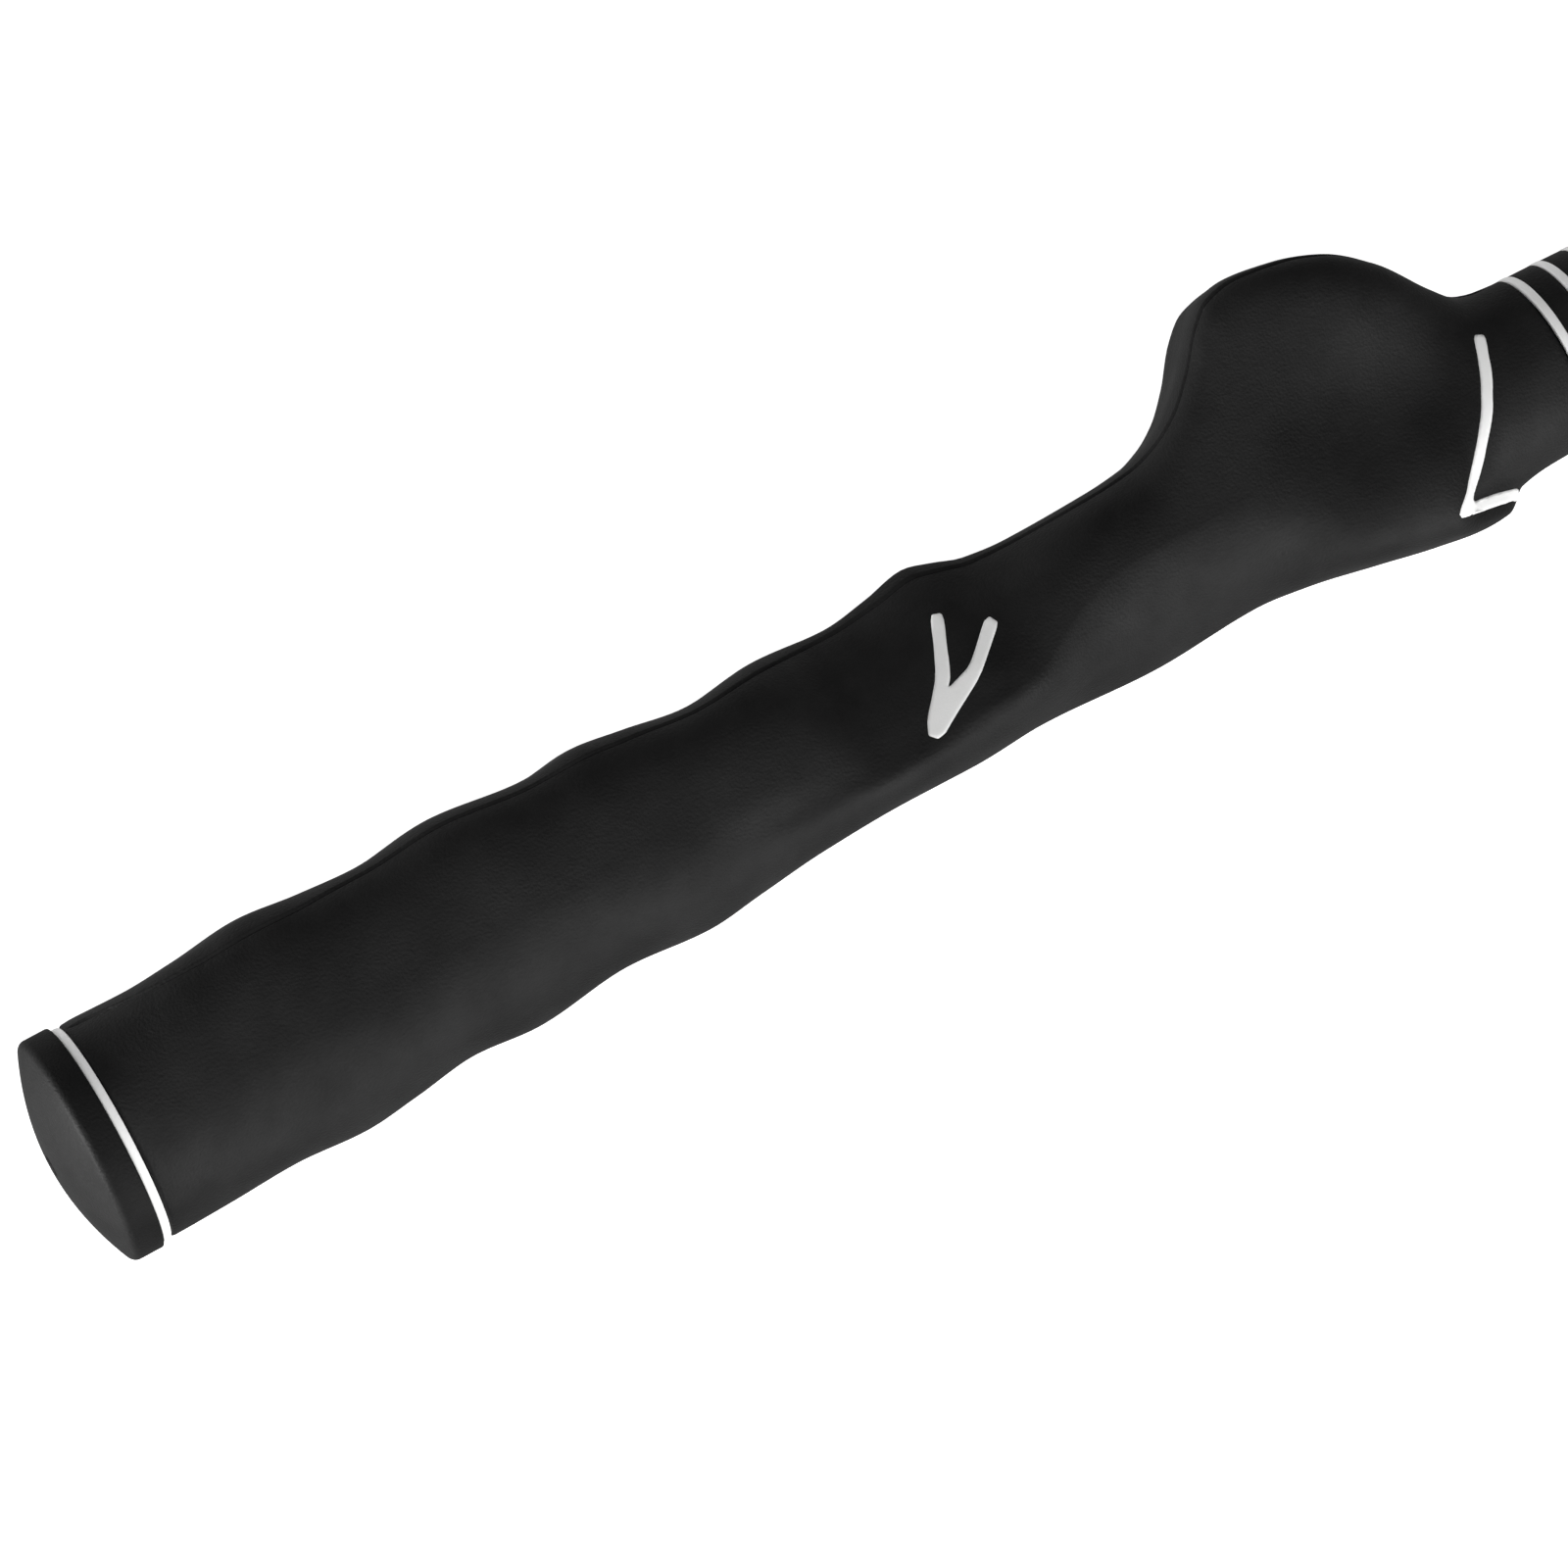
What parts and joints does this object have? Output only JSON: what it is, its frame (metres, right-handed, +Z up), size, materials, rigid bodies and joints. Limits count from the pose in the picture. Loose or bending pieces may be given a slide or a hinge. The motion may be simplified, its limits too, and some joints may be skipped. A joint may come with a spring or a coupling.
{
  "type": "golf swing trainer stick",
  "caption": "Short weighted golf swing trainer: moulded right-handed grip with finger waves and thumb paddle, stepped steel shaft, ribbed tip weight.",
  "frame": {"origin": "on the ground, below the middle of the stick's bounding box, as the stick lies with its marked face up", "axes": "+X along the shaft from the butt cap to the tip, +Y towards the thumb paddle, +Z up out of the face with the two hand marks"},
  "size_m": [0.63, 0.0452, 0.0316],
  "materials": {
    "grip_rubber": "matte moulded rubber, fine grain",
    "cap_rubber": "matte moulded rubber",
    "mark_rubber": "white moulded rubber, satin",
    "grip_tape": "creped paper tape",
    "shaft_chrome": "bright chrome plate on steel",
    "trim_chrome": "bright chrome plate on steel",
    "weight_steel": "turned steel, satin",
    "black_plastic": "gloss black",
    "bumper_rubber": "matte rubber",
    "dark_screw": "black oxide steel"
  },
  "bodies": {
    "root": {"grip_sleeve": "grip_rubber", "upper_hand_mark": "mark_rubber", "lower_hand_mark": "mark_rubber", "butt_cap": "cap_rubber", "butt_ring": "mark_rubber", "mouth_ring_1": "mark_rubber", "mouth_ring_2": "mark_rubber", "mouth_ring_3": "mark_rubber", "grip_tape": "grip_tape", "shaft_tube": "shaft_chrome", "butt_plug": "black_plastic", "rod_damper": "bumper_rubber", "weight_rod": "weight_steel", "ferrule": "black_plastic", "weight_body": "weight_steel", "weight_cover": "bumper_rubber", "rear_trim_ring": "trim_chrome", "front_trim_ring": "trim_chrome", "set_screw_1": "dark_screw", "set_screw_2": "dark_screw", "end_bumper": "bumper_rubber", "end_washer": "weight_steel", "end_screw": "dark_screw"}
  },
  "joints": []
}
